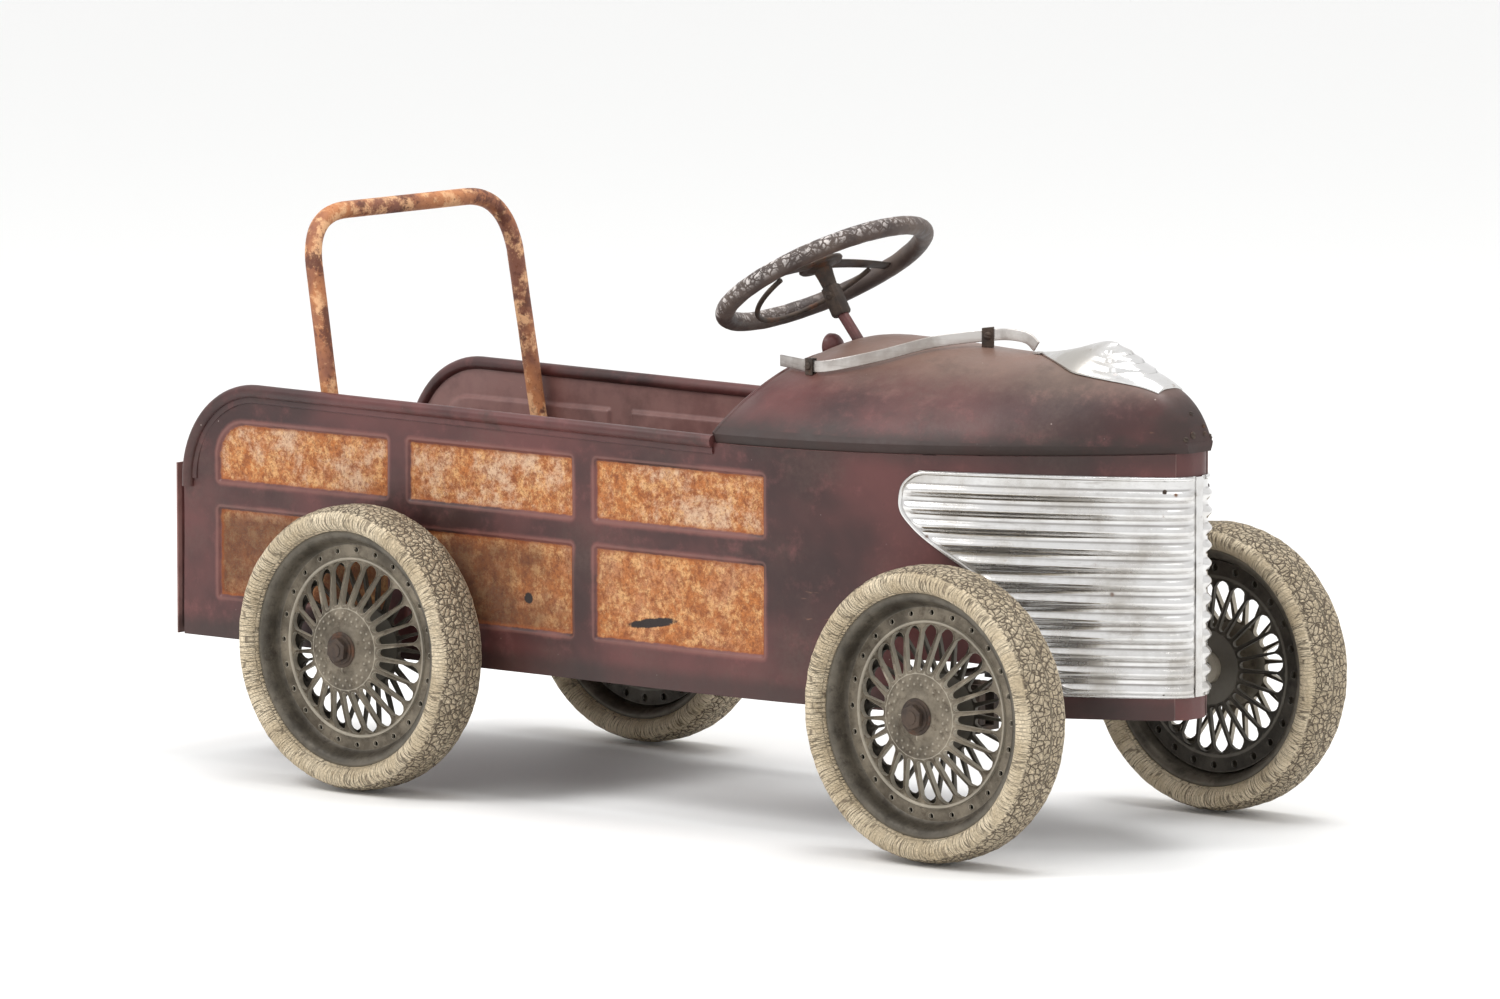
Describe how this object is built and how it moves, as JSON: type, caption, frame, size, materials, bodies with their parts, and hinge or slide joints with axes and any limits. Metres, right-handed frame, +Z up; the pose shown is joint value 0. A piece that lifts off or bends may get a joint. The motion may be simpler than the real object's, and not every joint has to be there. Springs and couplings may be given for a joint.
{
  "type": "pedal car",
  "caption": "Child's pedal car: wagon body with pressed side panels, arched hood over a ribbed grille, push hoop, spoked wheels, steered front axle, treadle pedals on a cranked rear axle.",
  "frame": {"origin": "middle of the car's footprint, on the ground", "axes": "+X forward, +Y to the driver's left, +Z up"},
  "size_m": [1.042, 0.458, 0.5212],
  "materials": {
    "body_paint": "faded satin oxblood paint with grime and rust",
    "rusted_tube": "rusted steel tube with remains of old paint",
    "bright_metal": "bright ribbed sheet with specks of dirt and rust",
    "strap_aluminium": "brushed",
    "cast_wheel": "oxidised dull grey casting",
    "dark_steel": "dull dark steel with light rust",
    "steering_grip": "dark aged rim with flaked pale patches",
    "tyre": "cream rubber, cracked with age",
    "pedal_rubber": "dull black"
  },
  "bodies": {
    "chassis": {"side_panel_left": "body_paint", "side_panel_right": "body_paint", "top_rail_left": "body_paint", "top_rail_right": "body_paint", "front_strip": "body_paint", "hood": "body_paint", "grille_left": "bright_metal", "grille_right": "bright_metal", "grille_front_strip": "bright_metal", "hood_strap": "strap_aluminium", "hood_ornament": "bright_metal", "cowl_lug": "body_paint", "strap_clip_rear": "dark_steel", "strap_clip_front": "dark_steel", "frame_rail_left": "dark_steel", "frame_rail_right": "dark_steel", "seat_pan": "body_paint", "push_hoop": "rusted_tube", "tailgate_hinge_rod": "dark_steel", "pedal_cross_rod": "dark_steel", "front_axle_beam": "dark_steel", "front_axle_cradle": "dark_steel"},
    "steering": {"steering_rim": "steering_grip", "steering_spokes": "dark_steel", "horn_ring": "dark_steel", "steering_hub_nut": "dark_steel", "steering_collar": "dark_steel", "steering_column": "body_paint"},
    "tailgate": {"tailgate": "body_paint"},
    "rear_axle": {"rear_crank_axle": "dark_steel", "rear_right_axle_nut": "dark_steel", "rear_left_axle_nut": "dark_steel", "rear_left_tyre": "tyre", "rear_left_rim": "cast_wheel", "rear_left_front_disc": "cast_wheel", "rear_left_back_disc": "cast_wheel"},
    "rear_right_wheel": {"rear_right_tyre": "tyre", "rear_right_rim": "cast_wheel", "rear_right_front_disc": "cast_wheel", "rear_right_back_disc": "cast_wheel"},
    "knuckle_left": {"steering_knuckle_left": "dark_steel", "front_left_axle_nut": "dark_steel"},
    "knuckle_right": {"steering_knuckle_right": "dark_steel", "front_right_axle_nut": "dark_steel"},
    "front_left_wheel": {"front_left_tyre": "tyre", "front_left_rim": "cast_wheel", "front_left_front_disc": "cast_wheel", "front_left_back_disc": "cast_wheel"},
    "front_right_wheel": {"front_right_tyre": "tyre", "front_right_rim": "cast_wheel", "front_right_front_disc": "cast_wheel", "front_right_back_disc": "cast_wheel"},
    "tie_rod": {"tie_rod": "dark_steel"},
    "pedal_left": {"pedal_arm_left": "dark_steel", "pedal_pad_left": "pedal_rubber"},
    "pedal_right": {"pedal_arm_right": "dark_steel", "pedal_pad_right": "pedal_rubber"},
    "drive_rod_left": {"drive_rod_left": "dark_steel"},
    "drive_rod_right": {"drive_rod_right": "dark_steel"}
  },
  "joints": [
    {"name": "steering_turn", "type": "hinge", "parent": "chassis", "child": "steering", "pos_m": [0.1255, 0, 0.43569], "axis": [-0.6428, 0, 0.766], "range_deg": [-24, 24]},
    {"name": "steer_left", "type": "hinge", "parent": "chassis", "child": "knuckle_left", "pos_m": [0.391, 0.14, 0.127], "axis": [0, 0, 1], "range_deg": [-12, 12]},
    {"name": "steer_right", "type": "hinge", "parent": "chassis", "child": "knuckle_right", "pos_m": [0.391, -0.14, 0.127], "axis": [0, 0, 1], "range_deg": [-12, 12]},
    {"name": "tie_rod_shift", "type": "slide", "parent": "chassis", "child": "tie_rod", "axis": [0, 1, 0], "range_m": [-0.0166, 0.0166]},
    {"name": "front_left_roll", "type": "hinge", "parent": "knuckle_left", "child": "front_left_wheel", "pos_m": [0.391, 0.196, 0.127], "axis": [0, 1, 0], "continuous": true},
    {"name": "front_right_roll", "type": "hinge", "parent": "knuckle_right", "child": "front_right_wheel", "pos_m": [0.391, -0.196, 0.127], "axis": [0, 1, 0], "continuous": true},
    {"name": "rear_axle_turn", "type": "hinge", "parent": "chassis", "child": "rear_axle", "pos_m": [-0.261, 0, 0.127], "axis": [0, 1, 0], "continuous": true},
    {"name": "rear_right_roll", "type": "hinge", "parent": "rear_axle", "child": "rear_right_wheel", "pos_m": [-0.261, -0.196, 0.127], "axis": [0, 1, 0], "continuous": true},
    {"name": "pedal_left_swing", "type": "hinge", "parent": "chassis", "child": "pedal_left", "pos_m": [0.24, 0.066, 0.27], "axis": [0, 1, 0], "range_deg": [-16.2, 16.2]},
    {"name": "pedal_right_swing", "type": "hinge", "parent": "chassis", "child": "pedal_right", "pos_m": [0.24, -0.066, 0.27], "axis": [0, 1, 0], "range_deg": [-16.2, 16.2]},
    {"name": "drive_rod_left_turn", "type": "hinge", "parent": "pedal_left", "child": "drive_rod_left", "pos_m": [0.24, 0.06, 0.155], "axis": [0, 1, 0], "range_deg": [-16.2, 16.2]},
    {"name": "drive_rod_right_turn", "type": "hinge", "parent": "pedal_right", "child": "drive_rod_right", "pos_m": [0.24, -0.06, 0.155], "axis": [0, 1, 0], "range_deg": [-16.2, 16.2]},
    {"name": "tailgate_drop", "type": "hinge", "parent": "chassis", "child": "tailgate", "pos_m": [-0.507, 0, 0.119], "axis": [0, -1, 0], "range_deg": [0, 90]}
  ],
  "couplings": [
    {"joint": "steer_left", "follows": "steering_turn", "ratio": 0.5},
    {"joint": "steer_right", "follows": "steering_turn", "ratio": 0.5},
    {"joint": "tie_rod_shift", "follows": "steering_turn", "m_per_rad": -0.0376},
    {"joint": "pedal_right_swing", "follows": "pedal_left_swing", "ratio": -1},
    {"joint": "drive_rod_left_turn", "follows": "pedal_left_swing", "ratio": -1},
    {"joint": "drive_rod_right_turn", "follows": "pedal_left_swing", "ratio": 1}
  ]
}
